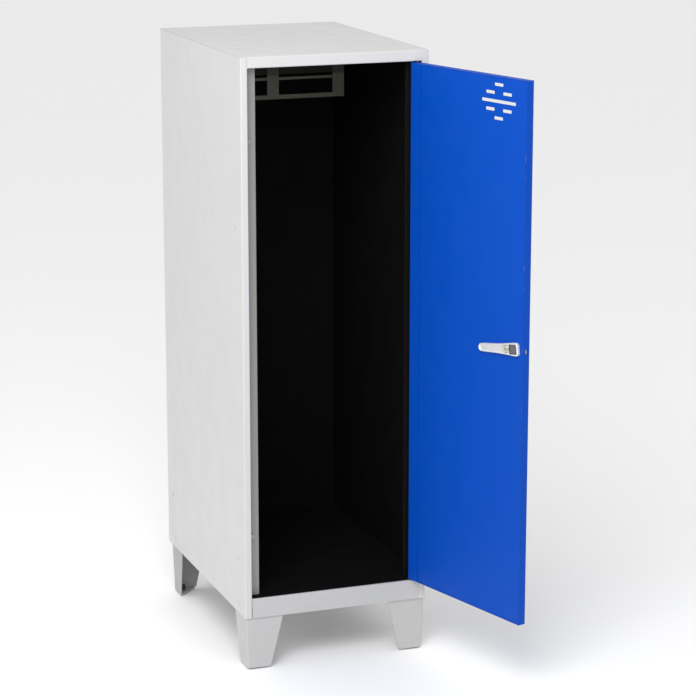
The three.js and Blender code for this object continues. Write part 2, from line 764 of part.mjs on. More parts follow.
// Pivot pins are fixed in the header and the bottom rail, and turn in the door's nylon bushes.
function pivotPin(face, direction) {
  const profile = [
    [0, -PIN_BACK],
    [PIN_RADIUS - PIN_CHAMFER, -PIN_BACK],
    [PIN_RADIUS, -PIN_BACK + PIN_CHAMFER],
    [PIN_RADIUS, PIN_REACH - PIN_CHAMFER],
    [PIN_RADIUS - PIN_CHAMFER, PIN_REACH],
    [0, PIN_REACH],
  ];
  const pin = turned(profile);
  if (direction < 0) {
    pin.rotateX(Math.PI);
  }
  return pin.translate(PIVOT_X, PIVOT_Y, face);
}

cabinet.add(named('hinge_pin_upper', pivotPin(OPENING_TOP, -1), zincSteel));
cabinet.add(named('hinge_pin_lower', pivotPin(OPENING_BOTTOM, 1), zincSteel));

// A collared bush: its collar fills the gap and its sleeve lines the hole in the door's end.
function hingeBush(face, direction) {
  const bore = PIN_RADIUS + 0.15;
  const sleeve = BUSH_RADIUS - 1;
  const profile = [
    [bore, GAP],
    [BUSH_RADIUS, GAP],
    [BUSH_RADIUS, DOOR_GAP - GAP],
    [sleeve, DOOR_GAP - GAP],
    [sleeve, DOOR_GAP + SHEET + 2],
    [bore, DOOR_GAP + SHEET + 2],
    [bore, GAP],
  ];
  const bush = turned(profile);
  if (direction < 0) {
    bush.rotateX(Math.PI);
  }
  return bush.translate(PIVOT_X, PIVOT_Y, face);
}

addToDoor('hinge_bush_upper', hingeBush(OPENING_TOP, -1), nylon);
addToDoor('hinge_bush_lower', hingeBush(OPENING_BOTTOM, 1), nylon);

// ---------------------------------------------------------------- latch
// A lever lying level: a blunt heel beside the spindle and a tongue that tapers to a round tip.
function leverOutline() {
  const heel = LATCH_X - LEVER_HEEL + LEVER_HEEL_CORNER;
  const cornerHeight = LEVER_HALF_HEIGHT - LEVER_HEEL_CORNER;
  const tip = LATCH_X + LEVER_TONGUE - LEVER_TIP_RADIUS;
  const taper = Math.atan2(LEVER_HALF_HEIGHT - LEVER_TIP_RADIUS, tip - heel);
  const square = Math.PI / 2;
  const shape = new THREE.Shape();
  shape.absarc(heel, LATCH_Z - cornerHeight, LEVER_HEEL_CORNER, 2 * square, 3 * square + taper);
  shape.absarc(tip, LATCH_Z, LEVER_TIP_RADIUS, -square + taper, square - taper);
  shape.absarc(heel, LATCH_Z + cornerHeight, LEVER_HEEL_CORNER, square - taper, 2 * square);
  return shape;
}

// Turns a lever's geometry about the spindle, so that its tongue droops.
function drooped(geometry) {
  const droop = THREE.MathUtils.degToRad(LEVER_DROOP);
  return geometry.translate(-LATCH_X, 0, -LATCH_Z).rotateY(droop).translate(LATCH_X, 0, LATCH_Z);
}

// The lever's outer face is at "face", and "outward" is 1 inside the door and -1 outside it.
function lever(face, outward) {
  const span = (near, far) => [Math.min(near, far), Math.max(near, far)];
  const [front, back] = span(face - outward * LEVER_THICKNESS, face);
  const slab = frontSlab(leverOutline(), front, back);
  const pocket = rectangle(
    LATCH_X - LEVER_HEEL + LEVER_RIM,
    LATCH_Z - LEVER_HALF_HEIGHT + LEVER_RIM,
    LATCH_X - CAP_RADIUS - LEVER_RIM,
    LATCH_Z + LEVER_HALF_HEIGHT - LEVER_RIM,
    LEVER_POCKET_CORNER,
  );
  const pocketSpan = span(face - outward * LEVER_POCKET_DEPTH, face + outward);
  const counterbore = span(face - outward * CAP_SEAT, face + outward);
  return drooped(joinAndCut([slab], [
    frontSlab(pocket, ...pocketSpan),
    crossRod(CAP_RADIUS + GAP, ...counterbore, LATCH_X, LATCH_Z),
    crossRod(SPINDLE_RADIUS + GAP, front - 1, back + 1, LATCH_X, LATCH_Z),
  ]));
}

const innerLeverFace = INNER_SKIN_FACE + LEVER_STANDOFF + LEVER_THICKNESS;
const outerLeverFace = -LEVER_STANDOFF - LEVER_THICKNESS;

addToDoor('latch_lever_inner', lever(innerLeverFace, 1), castMetal);
addToDoor('latch_lever_outer', lever(outerLeverFace, -1), castMetal);

// The caps that hold the levers on the spindle stand a little proud, with a slot across them.
function leverCap(face, outward) {
  const seat = face - outward * (CAP_SEAT - GAP);
  const proud = face + outward * CAP_PROUD;
  const slotBottom = proud - outward * CAP_SLOT_DEPTH;
  const slotTop = proud + outward;
  const cap = crossRod(CAP_RADIUS, Math.min(seat, proud), Math.max(seat, proud), LATCH_X, LATCH_Z);
  const slot = block(
    [LATCH_X - CAP_SLOT_HALF_LENGTH, Math.min(slotBottom, slotTop), LATCH_Z - CAP_SLOT_HALF_WIDTH],
    [LATCH_X + CAP_SLOT_HALF_LENGTH, Math.max(slotBottom, slotTop), LATCH_Z + CAP_SLOT_HALF_WIDTH],
  );
  return joinAndCut([cap], [slot]);
}

addToDoor('lever_cap_inner', leverCap(innerLeverFace, 1), castMetal);
addToDoor('lever_cap_outer', leverCap(outerLeverFace, -1), castMetal);

const spindle = crossRod(
  SPINDLE_RADIUS,
  outerLeverFace + CAP_SEAT + GAP,
  innerLeverFace - CAP_SEAT - GAP,
  LATCH_X,
  LATCH_Z,
);
addToDoor('latch_spindle', spindle, darkSteel);

// The crank is a disc on the spindle, with a pin that drives the bolt's upright slot. Its pin
// swings from one side of the lowest point to the other as the lever turns.
const halfTurn = THREE.MathUtils.degToRad(LEVER_TURN) / 2;
const pinOffset = BOLT_THROW / 2;
const crankRadius = pinOffset / Math.sin(halfTurn);
const pinDrop = crankRadius * Math.cos(halfTurn);

function crank() {
  const back = BOLT_FRONT - GAP;
  const pinEnd = BOLT_FRONT + BOLT_THICKNESS;
  const disc = crossRod(crankRadius + CRANK_RIM, CRANK_FRONT, back, LATCH_X, LATCH_Z);
  const pinX = LATCH_X + pinOffset;
  const pin = crossRod(CRANK_PIN_RADIUS, CRANK_FRONT + 1, pinEnd, pinX, LATCH_Z - pinDrop);
  const bore = crossRod(SPINDLE_RADIUS + GAP, CRANK_FRONT - 1, back + 1, LATCH_X, LATCH_Z);
  return joinAndCut([disc, pin], [bore]);
}

addToDoor('latch_crank', crank(), darkSteel);

function latchBolt() {
  const tip = -DOOR_SIDE + 2 * SHEET;
  const shoulder = LATCH_X - BOLT_SHOULDER;
  const tail = LATCH_X + BOLT_TAIL;
  const front = BOLT_FRONT;
  const back = BOLT_FRONT + BOLT_THICKNESS;
  const [low, high] = [LATCH_Z - BOLT_HALF_HEIGHT, LATCH_Z + BOLT_HALF_HEIGHT];
  const [noseLow, noseHigh] = [LATCH_Z - BOLT_NOSE_HALF_HEIGHT, LATCH_Z + BOLT_NOSE_HALF_HEIGHT];
  const body = frontSlab(rectangle(shoulder, low, tail, high, 1), front, back);
  const nose = frontSlab(rectangle(tip, noseLow, shoulder + 2, noseHigh, 1), front, back);
  const heelMiddle = LATCH_X + pinOffset;
  const heel = block(
    [heelMiddle - BOLT_HALF_HEIGHT, front, LATCH_Z - BOLT_HEEL_DROP],
    [heelMiddle + BOLT_HALF_HEIGHT, back, LATCH_Z],
  );
  const pinRoom = CRANK_PIN_RADIUS + CRANK_PIN_PLAY;
  const pinSlot = block(
    [LATCH_X + pinOffset - pinRoom, front - 1, LATCH_Z - crankRadius - pinRoom],
    [LATCH_X + pinOffset + pinRoom, back + 1, LATCH_Z - pinDrop + pinRoom],
  );
  const reach = SPINDLE_RADIUS + 2 * GAP;
  const spindleSlot = block(
    [LATCH_X - reach, front - 1, LATCH_Z - reach],
    [LATCH_X + reach + BOLT_THROW, back + 1, LATCH_Z + reach],
  );
  return joinAndCut([body, nose, heel], [pinSlot, spindleSlot]);
}

addToDoor('latch_bolt', latchBolt(), zincSteel);

// The case is a shallow tray behind the front face, open towards it.
function latchCase() {
  const front = SHEET + GAP + BEND_RADIUS;
  const back = INNER_SKIN_FACE - SHEET - GAP;
  const left = -DOOR_SIDE + SHEET + GAP;
  const right = LATCH_X + CASE_TAIL;
  const hollowHalf = CASE_HALF_HEIGHT - CASE_WALL;
  const box = block(
    [left, front, LATCH_Z - CASE_HALF_HEIGHT],
    [right, back, LATCH_Z + CASE_HALF_HEIGHT],
  );
  const hollow = block(
    [left + CASE_WALL, front - 1, LATCH_Z - hollowHalf],
    [right - CASE_WALL, back - CASE_WALL, LATCH_Z + hollowHalf],
  );
  return joinAndCut([box], [
    hollow,
    spindleHole(back - 2 * CASE_WALL, back + 1),
    boltSlot(left - 1, left + 2 * CASE_WALL, GAP),
  ]);
}

addToDoor('latch_case', latchCase(), zincSteel);

// Rubber buffers on the stop flange meet the closed door.
function doorBuffer(z) {
  const far = STOP_DEPTH - GAP;
  const near = DOOR_THICKNESS + 2 * GAP;
  return crossRod(BUFFER_RADIUS, near, far, -OPENING_SIDE + BUFFER_FROM_JAMB, z);
}

cabinet.add(named('door_buffer_upper', doorBuffer(TOP - BUFFER_FROM_END), rubber));
cabinet.add(named('door_buffer_lower', doorBuffer(BOTTOM + BUFFER_FROM_END), rubber));

// ---------------------------------------------------------------- origin
const group = new THREE.Group();
group.add(cabinet);
const extent = new THREE.Box3().setFromObject(group, true);
cabinet.position.set(
  -(extent.min.x + extent.max.x) / 2,
  -(extent.min.y + extent.max.y) / 2,
  -extent.min.z,
);

export default group;
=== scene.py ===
"""The looks of the locker cabinet: materials, refined latch pieces, lights and camera.

Metres, in the same frame as the CAD model. The cabinet's sheets keep their CAD shapes and get
procedural paint; the latch levers and their caps are built again here with rounded edges.
"""
import json
import math

import bmesh
import bpy
from mathutils import Matrix, Vector


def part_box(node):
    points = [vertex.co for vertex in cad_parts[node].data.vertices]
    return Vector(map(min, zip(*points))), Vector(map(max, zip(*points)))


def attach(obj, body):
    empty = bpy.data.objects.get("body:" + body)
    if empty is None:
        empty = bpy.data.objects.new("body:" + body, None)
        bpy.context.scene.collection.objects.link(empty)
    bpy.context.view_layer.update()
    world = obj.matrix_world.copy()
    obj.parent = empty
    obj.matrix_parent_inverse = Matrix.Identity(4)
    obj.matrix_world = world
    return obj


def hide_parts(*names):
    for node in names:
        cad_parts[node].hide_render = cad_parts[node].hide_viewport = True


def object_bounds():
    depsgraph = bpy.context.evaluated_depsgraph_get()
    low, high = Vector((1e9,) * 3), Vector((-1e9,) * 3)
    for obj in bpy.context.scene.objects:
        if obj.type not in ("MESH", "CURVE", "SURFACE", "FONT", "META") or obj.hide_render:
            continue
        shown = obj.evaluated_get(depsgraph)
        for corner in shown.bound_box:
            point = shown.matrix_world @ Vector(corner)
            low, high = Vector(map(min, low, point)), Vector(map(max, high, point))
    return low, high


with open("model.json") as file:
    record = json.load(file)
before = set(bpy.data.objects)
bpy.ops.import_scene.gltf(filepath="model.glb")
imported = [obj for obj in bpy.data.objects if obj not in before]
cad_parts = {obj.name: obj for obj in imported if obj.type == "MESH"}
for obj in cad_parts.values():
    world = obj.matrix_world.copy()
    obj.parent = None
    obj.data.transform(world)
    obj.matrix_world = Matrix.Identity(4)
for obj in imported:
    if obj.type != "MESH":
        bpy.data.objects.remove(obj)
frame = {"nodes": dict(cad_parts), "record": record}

cad_low, cad_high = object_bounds()

MM = 0.001

# ------------------------------------------------------------------ camera and light settings
CAMERA_LOCATION = Vector((-1.5157, -4.2014, 1.6331))
CAMERA_TURN = math.radians(20.105)
CAMERA_TILT = math.radians(13.430)
CAMERA_LENS = 129.37

WORLD_STRENGTH = 0.84
SOFTBOX_PLACE = Vector((-1.15, -1.95, 2.35))
SOFTBOX_TARGET = Vector((-0.05, -0.1, 0.95))
SOFTBOX_SIZE = 1.4
SOFTBOX_POWER = 58
SIDE_LIGHT = {"strength": 0.62, "elevation": 14, "azimuth": -84, "softness": 60}

# ------------------------------------------------------------------ sizes of the fine shapes
# The lever: a raised rim round a sunk face, and a pocket at its heel.
LEVER_TIP_RADIUS = 7.2 * MM
LEVER_HEEL_CORNER = 6 * MM
LEVER_WAIST = 0.9 * MM
LEVER_RIM = 2.2 * MM
LEVER_RIM_ROUND = 1.4 * MM
LEVER_SINK = 1.3 * MM
LEVER_BACK_CHAMFER = 0.4 * MM
LEVER_RIM_STEPS = 4
LEVER_LIP_WIDTH = 0.5 * MM
LEVER_LIP_DROP = 0.3 * MM
LEVER_SINK_WALL = 1.0 * MM
# How far a cutter stands out of the face that it cuts.
CUTTER_PROUD = 2 * MM
CAP_CUTTER_PROUD = 1 * MM
POCKET_FROM_CAP = 1.2 * MM
POCKET_RIM = 3.0 * MM
POCKET_DEPTH = 3.2 * MM
POCKET_CORNER = 3 * MM

# The round cap on the lever, in the seat cut for it.
CAP_RING = 1.9 * MM
CAP_SINK = 0.9 * MM
CAP_SEAT_GAP = 0.4 * MM
CAP_SEAT_DEPTH = 2.2 * MM
CAP_OUTER_ROUND = 0.6 * MM
CAP_SMALL_ROUND = 0.2 * MM
CAP_INNER_ROUND = 0.4 * MM
CAP_INNER_WALL = 0.7 * MM
CAP_CENTRE_RADIUS = 0.4 * MM
CAP_SLOT_HALF_LENGTH = 3.2 * MM
CAP_SLOT_HALF_WIDTH = 0.7 * MM
CAP_SLOT_DEPTH = 0.7 * MM
CAP_SLOT_CORNER = 0.5 * MM

# The gap round the door, and the weld beads in its frame.
DOOR_GAP = 2.5 * MM
WELD_RADIUS = 0.55 * MM
WELD_SINK_SHARE = 0.85
WELD_SIDES = 16
# The rings at a weld's end, as shares of its radius: ring radius, height above the end.
WELD_ENDS = [(0.2, 0.0), (0.75, 0.35), (1.0, 1.0)]

# The hanging rail is dim from a little above its top bar upwards.
RAIL_TOP_BAR = 7 * MM
RAIL_SHADE_FADE = 5 * MM
RAIL_SHADE_SHARE = 0.4

# The paint on the body: how wide its rubbed edges are, and where the painted shade of the hinge side
# begins.
RUBBED_EDGE_WIDTH = 1.6 * MM
# The hinge side is painted black as painted shade deeper than JAMB_DEPTH and further in than
# JAMB_FACE_WIDTH.
JAMB_DEPTH = 2 * MM
JAMB_FACE_WIDTH = 11 * MM
STEP_OFF = 1.5 * MM
SKIN = 0.6 * MM
FACING_SHARE = 0.7

# The stage, in metres.
FLOOR_REACH = 40
FLOOR_DROP = 0.2 * MM
CAMERA_FAR = 200

# ------------------------------------------------------------------ colours, linear
GREY_PAINT = (0.515, 0.515, 0.512, 1)
# A darker grey for the stop flange's front: painted shade.
STOP_PAINTED_SHADE = (0.25, 0.24, 0.222, 1)
# The legs, foot plates and bottom rail keep these shares of the grey paint's brightness as painted shade
# low down, and the rear legs a deeper painted shade.
LOW_SHADE_SHARE = 0.84
REAR_LEG_SHADE_SHARE = 0.64
BLUE_PAINT = (0.0, 0.055, 0.385, 1)
INSIDE_PAINT = (0.0025, 0.0025, 0.0027, 1)
# A dark olive grey for the hanging rail: grey paint with painted shade inside the cabinet.
RAIL_PAINTED_SHADE = (0.125, 0.122, 0.094, 1)
# Near black for the rail bracket: painted shade behind the rail.
BRACKET_PAINTED_SHADE = (0.018, 0.018, 0.013, 1)
ZINC = (0.52, 0.53, 0.55, 1)
CAST_METAL = (0.80, 0.81, 0.83, 1)
# A darker copy of the cast metal for the lever's sunk face: painted shade.
SUNK_FACE_PAINTED_SHADE = (0.70, 0.71, 0.73, 1)
DARK_STEEL = (0.14, 0.145, 0.15, 1)
CAP_METAL = (0.58, 0.58, 0.47, 1)
# A dark copy of the cast metal for the lever's pocket and cap seat: painted shade in the hollows.
POCKET_PAINTED_SHADE = (0.22, 0.225, 0.235, 1)
NYLON = (0.018, 0.018, 0.02, 1)
RUBBER = (0.30, 0.30, 0.285, 1)
FLOOR = (0.93, 0.93, 0.93, 1)
DUST = (0.40, 0.385, 0.36, 1)
BARE_EDGE = (0.30, 0.31, 0.32, 1)

# ------------------------------------------------------------------ places from the frame
record = frame["record"]
joints = {joint["name"]: joint for joint in record["behaviour"]["joints"]}
hinge_place = Vector(joints["door_hinge"]["pos_m"])
door_open_angle = -math.radians(joints["door_hinge"]["range_deg"][0])
latch_place = Vector(joints["latch_turn"]["pos_m"])
lever_droop = math.radians(90 - joints["latch_turn"]["range_deg"][1])

door_turn = Matrix.Rotation(door_open_angle, 4, "Z")
closed_to_open = Matrix.Translation(hinge_place) @ door_turn @ Matrix.Translation(-hinge_place)
lever_to_row = (
    Matrix.Translation(latch_place) @ door_turn @ Matrix.Rotation(lever_droop, 4, "Y")
)

left_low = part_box("side_panel_left")[0]
right_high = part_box("side_panel_right")[1]
base_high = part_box("base_panel")[1]
top_low, top_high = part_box("top_panel")
body_low = Vector((left_low.x, top_low.y, left_low.z))
body_high = Vector((right_high.x, top_high.y, top_high.z))


def box_in(node, to_row):
    """A CAD node's lowest and highest corners in a turned frame."""
    inverse = to_row.inverted()
    corners = [inverse @ vertex.co for vertex in frame["nodes"][node].data.vertices]
    low = Vector(min(corner[axis] for corner in corners) for axis in range(3))
    high = Vector(max(corner[axis] for corner in corners) for axis in range(3))
    return low, high


# ------------------------------------------------------------------ node helpers
class NodeMaterial:
    """A material with a Principled shader and short ways to add nodes to it."""

    def __init__(self, name, to_row=None):
        self.material = bpy.data.materials.new(name)
        self.material.use_nodes = True
        self.tree = self.material.node_tree
        self.shader = self.tree.nodes["Principled BSDF"]
        coordinates = self.tree.nodes.new("ShaderNodeTexCoord").outputs["Object"]
        if to_row is not None:
            coordinates = self.turned_back(coordinates, to_row)
        self.coordinates = coordinates

    def turned_back(self, coordinates, to_row):
        """Coordinates in the frame of a closed door, for a piece that stands open."""
        inverse = to_row.inverted()
        mapping = self.tree.nodes.new("ShaderNodeMapping")
        mapping.inputs["Location"].default_value = inverse.to_translation()
        mapping.inputs["Rotation"].default_value = inverse.to_euler()
        self.link(coordinates, mapping.inputs["Vector"])
        return mapping.outputs["Vector"]

    def link(self, source, target):
        self.tree.links.new(source, target)

    def scaled(self, scale):
        mapping = self.tree.nodes.new("ShaderNodeMapping")
        mapping.inputs["Scale"].default_value = scale
        self.link(self.coordinates, mapping.inputs["Vector"])
        return mapping.outputs["Vector"]

    def noise(self, scale, detail=2.0, vector=None, roughness=0.5):
        node = self.tree.nodes.new("ShaderNodeTexNoise")
        node.inputs["Scale"].default_value = scale
        node.inputs["Detail"].default_value = detail
        node.inputs["Roughness"].default_value = roughness
        self.link(vector or self.coordinates, node.inputs["Vector"])
        return node.outputs["Fac"]

    def cells(self, scale):
        node = self.tree.nodes.new("ShaderNodeTexVoronoi")
        node.inputs["Scale"].default_value = scale
        self.link(self.coordinates, node.inputs["Vector"])
        return node.outputs["Distance"]

    def between(self, value, low, high, to_low=0.0, to_high=1.0):
        node = self.tree.nodes.new("ShaderNodeMapRange")
        node.interpolation_type = "SMOOTHSTEP"
        self.link(value, node.inputs["Value"])
        node.inputs["From Min"].default_value = low
        node.inputs["From Max"].default_value = high
        node.inputs["To Min"].default_value = to_low
        node.inputs["To Max"].default_value = to_high
        return node.outputs["Result"]

    def math(self, operation, first, second=0.5):
        node = self.tree.nodes.new("ShaderNodeMath")
        node.operation = operation
        for socket, value in zip(node.inputs, (first, second)):
            if isinstance(value, (int, float)):
                socket.default_value = value
            else:
                self.link(value, socket)
        return node.outputs["Value"]

    def mix(self, factor, first, second):
        node = self.tree.nodes.new("ShaderNodeMix")
        node.data_type = "RGBA"
        # Inputs 6 and 7 are the two colours, and output 2 is the mixed one.
        self.link(factor, node.inputs["Factor"])
        for socket, value in ((node.inputs[6], first), (node.inputs[7], second)):
            if isinstance(value, tuple):
                socket.default_value = value
            else:
                self.link(value, socket)
        return node.outputs[2]

    def bump(self, height, strength, distance, normal=None):
        node = self.tree.nodes.new("ShaderNodeBump")
        node.inputs["Strength"].default_value = strength
        node.inputs["Distance"].default_value = distance
        self.link(height, node.inputs["Height"])
        if normal is not None:
            self.link(normal, node.inputs["Normal"])
        return node.outputs["Normal"]

    def axis(self, name):
        node = self.tree.nodes.new("ShaderNodeSeparateXYZ")
        self.link(self.coordinates, node.inputs["Vector"])
        return node.outputs[name]

    def edge_closeness(self, low, high, reach):
        """1 on the edges of a box, and 0 further than reach from them."""
        depths = []
        for name, near, far in zip("XYZ", low, high):
            place = self.axis(name)
            from_low = self.math("SUBTRACT", place, near)
            from_high = self.math("SUBTRACT", far, place)
            depths.append(self.math("MINIMUM", from_low, from_high))
        smaller = self.math("MINIMUM", depths[0], depths[1])
        larger = self.math("MAXIMUM", depths[0], depths[1])
        second = self.math("MAXIMUM", smaller, self.math("MINIMUM", larger, depths[2]))
        return self.between(second, 0.0, reach, 1.0, 0.0)

    def set(self, socket, value):
        if isinstance(value, (int, float, tuple)):
            self.shader.inputs[socket].default_value = value
        else:
            self.link(value, self.shader.inputs[socket])


def toned(color, share):
    """The colour at a share of its brightness."""
    return tuple(channel * share for channel in color[:3]) + (1,)


def powder_coat(
    name, color, roughness=0.42, edges=None, to_row=None, dust=0.06, gloss=0.5, shaded_above=None,
):
    """Baked powder paint: orange peel, faint clouding, light dust low down and rubbed edges.

    edges is the box whose edges are rubbed, and the paint is dim above the height shaded_above.
    """
    paint = NodeMaterial(name, to_row)
    cloud = paint.between(paint.noise(3.5, detail=4), 0.35, 0.7)
    base = paint.mix(cloud, color, toned(color, 0.982))
    speckle = paint.between(paint.noise(420, detail=2), 0.52, 0.8, 0, 0.3)
    base = paint.mix(speckle, base, toned(color, 0.88))

    streaks = paint.noise(1.0, detail=5, vector=paint.scaled((260, 260, 9)), roughness=0.6)
    base = paint.mix(paint.between(streaks, 0.62, 0.76, 0, 0.1), base, toned(color, 1.08))

    height = paint.axis("Z")
    low_dust = paint.between(height, cad_low.z, body_low.z + 0.1, dust, 0.0)
    patches = paint.between(paint.noise(28, detail=5, roughness=0.65), 0.42, 0.66)
    base = paint.mix(paint.math("MULTIPLY", low_dust, patches), base, DUST)

    if edges is not None:
        closeness = paint.edge_closeness(*edges, RUBBED_EDGE_WIDTH)
        chips = paint.between(paint.noise(90, detail=4, roughness=0.7), 0.56, 0.66, 0, 0.22)
        base = paint.mix(paint.math("MULTIPLY", closeness, chips), base, BARE_EDGE)

    if shaded_above is not None:
        shade = paint.between(height, shaded_above, shaded_above + RAIL_SHADE_FADE)
        base = paint.mix(shade, base, toned(color, RAIL_SHADE_SHARE))

    rub = paint.noise(22, detail=4)
    paint.set("Base Color", base)
    paint.set("Roughness", paint.between(rub, 0.3, 0.75, roughness - 0.05, roughness + 0.08))
    ripple = paint.bump(paint.noise(9, detail=2), 0.05, 1.0 * MM)
    paint.set("Normal", paint.bump(paint.noise(620, detail=1), 0.16, 0.12 * MM, ripple))
    paint.set("Specular IOR Level", gloss)
    return paint.material


def worn_metal(
    name, color, roughness, grain=(900, 900, 40), to_row=None, spots=0.5, metallic=1.0,
):
    """Bare or plated metal: fine grain along one direction, cloudy tarnish and small spots."""
    metal = NodeMaterial(name, to_row)
    lines = metal.noise(1.0, detail=4, vector=metal.scaled(grain))
    tarnish = metal.noise(60, detail=5, roughness=0.6)
    base = metal.mix(metal.between(tarnish, 0.45, 0.75, 0, spots), color, toned(color, 0.55))
    base = metal.mix(metal.between(lines, 0.45, 0.75, 0, 0.35), base, toned(color, 0.85))
    metal.set("Base Color", base)
    metal.set("Metallic", metallic)
    metal.set("Roughness", metal.between(lines, 0.3, 0.8, roughness - 0.06, roughness + 0.1))
    metal.set("Normal", metal.bump(lines, 0.08, 0.05 * MM))
    return metal.material


def moulded(name, color, roughness, pits=0.2):
    """Moulded plastic or rubber: a fine pitted skin with paler scuffs and dust."""
    skin = NodeMaterial(name)
    scuffs = skin.between(skin.noise(180, detail=5, roughness=0.7), 0.55, 0.72, 0, 0.4)
    base = skin.mix(scuffs, color, tuple(0.06 + 1.6 * c for c in color[:3]) + (1,))
    skin.set("Base Color", base)
    skin.set("Roughness", skin.between(scuffs, 0, 0.4, roughness, roughness + 0.15))
    skin.set("Normal", skin.bump(skin.cells(900), pits, 0.15 * MM))
    return skin.material


# ------------------------------------------------------------------ painting the CAD nodes
body_edges = (body_low, body_high)
door_edges = box_in("door_tray", closed_to_open)

grey_paint = powder_coat("light grey powder coat", GREY_PAINT, edges=body_edges)
# Grey paint made darker as painted shade low down, with more dust.
low_dust_and_shade_paint = powder_coat("light grey leg paint", toned(GREY_PAINT, LOW_SHADE_SHARE), dust=0.16)
# Grey paint made darker still as painted shade on the rear legs, with more dust.
rear_leg_dust_and_shade_paint = powder_coat("grey rear leg paint", toned(GREY_PAINT, REAR_LEG_SHADE_SHARE), dust=0.16)
stop_painted_shade = powder_coat("shaded grey paint", STOP_PAINTED_SHADE, roughness=0.5)
inside_paint = powder_coat("matte black inside paint", INSIDE_PAINT, roughness=0.8, dust=0.0, gloss=0.12)
rail_windows = [space for space in record["physics"]["openings"] if "rail_window" in space["name"]]
window_top = max(space["box_m"][1][2] for space in rail_windows)
# The rail's dark tone is painted shade, and it is darker still above its top bar.
rail_paint = powder_coat(
    "dull grey rail paint", RAIL_PAINTED_SHADE, 0.5, dust=0.0, shaded_above=window_top + RAIL_TOP_BAR,
)
# The rail bracket's near black is painted shade behind the rail.
bracket_painted_shade = powder_coat("dark bracket paint", BRACKET_PAINTED_SHADE, roughness=0.6, dust=0.0, gloss=0.2)
blue_paint = powder_coat(
    "blue powder coat", BLUE_PAINT, 0.5, edges=door_edges, to_row=closed_to_open, gloss=0.12,
)
zinc = worn_metal("zinc plated steel", ZINC, 0.34)
cast_metal = worn_metal(
    "satin cast metal", CAST_METAL, 0.42, grain=(60, 700, 700), to_row=lever_to_row, spots=0.12,
    metallic=0.55,
)
cap_metal = worn_metal(
    "warm cap metal", CAP_METAL, 0.35, to_row=lever_to_row, spots=0.2, metallic=0.6,
)
sunk_face_painted_shade = worn_metal(
    "brushed cast metal", SUNK_FACE_PAINTED_SHADE, 0.45, grain=(60, 700, 700), to_row=lever_to_row, spots=0.2,
    metallic=0.55,
)
dark_steel = worn_metal("oiled steel", DARK_STEEL, 0.38)
pocket_painted_shade = worn_metal("cast metal in the pocket", POCKET_PAINTED_SHADE, 0.5, to_row=lever_to_row)
nylon = moulded("black nylon", NYLON, 0.5)
rubber = moulded("soft rubber", RUBBER, 0.8, pits=0.35)

SLOT_MATERIALS = {
    "grey_paint": grey_paint,
    "blue_paint": blue_paint,
    "rail_paint": rail_paint,
    "zinc_steel": zinc,
    "dark_steel": dark_steel,
    "cast_metal": cast_metal,
    "nylon": nylon,
    "rubber": rubber,
}


def paint_node(obj, *materials):
    obj.data.materials.clear()
    for material in materials:
        obj.data.materials.append(material)


for row in record["subparts"]:
    paint_node(frame["nodes"][row["node"]], SLOT_MATERIALS[row["material_slot"]])
paint_node(frame["nodes"]["rail_bracket"], bracket_painted_shade)
# Legs and foot plates get the painted shade low down, the rear ones a deeper painted shade.
for node in frame["nodes"]:
    if node.startswith(("leg_front", "foot_plate_front")):
        paint_node(frame["nodes"][node], low_dust_and_shade_paint)
    elif node.startswith(("leg_rear", "foot_plate_rear")):
        paint_node(frame["nodes"][node], rear_leg_dust_and_shade_paint)

# The inside of the body is black. A face is inside when a short step off it ends in the cavity.
stop_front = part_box("door_buffer_upper")[1].y
cavity_low = Vector((body_low.x + SKIN, stop_front + SKIN, base_high.z - SKIN))
cavity_high = Vector((body_high.x - SKIN, body_high.y - SKIN, body_high.z - SKIN))


def in_cavity(place):
    return all(low < value < high for low, value, high in zip(cavity_low, place, cavity_high))


def faces_the_door(polygon):
    """The stop flange's front, which gets a darker grey as painted shade: it looks forward, and lies
    behind the closed door.
    """
    depth = polygon.center.y - stop_front
    return polygon.normal.y < -FACING_SHARE and -SKIN < depth < 2 * SKIN


def behind_the_jamb(polygon):
    """The return, stop flange and lip of the hinge side, which the door's edge keeps dark: they get the
    black paint as painted shade.
    """
    inward = body_high.x - polygon.center.x
    return polygon.center.y > body_low.y + JAMB_DEPTH and inward > JAMB_FACE_WIDTH


def is_body_piece(node):
    return node.endswith("_panel") or node.startswith(("side_panel", "side_rivet", "leg_bolt"))


for node in filter(is_body_piece, frame["nodes"]):
    panel = frame["nodes"][node]
    # The bottom rail's outside gets the painted shade low down.
    outside_paint = low_dust_and_shade_paint if node == "base_panel" else grey_paint
    paint_node(panel, outside_paint, inside_paint, stop_painted_shade)
    for polygon in panel.data.polygons:
        # The hinge side's return, stop flange and lip get the black inside paint as painted shade.
        painted_shade_edge = node == "side_panel_right" and behind_the_jamb(polygon)
        if painted_shade_edge or in_cavity(polygon.center + polygon.normal * STEP_OFF):
            polygon.material_index = 1
        # The stop flange's front gets the darker grey as painted shade.
        elif faces_the_door(polygon):
            polygon.material_index = 2
        else:
            polygon.material_index = 0


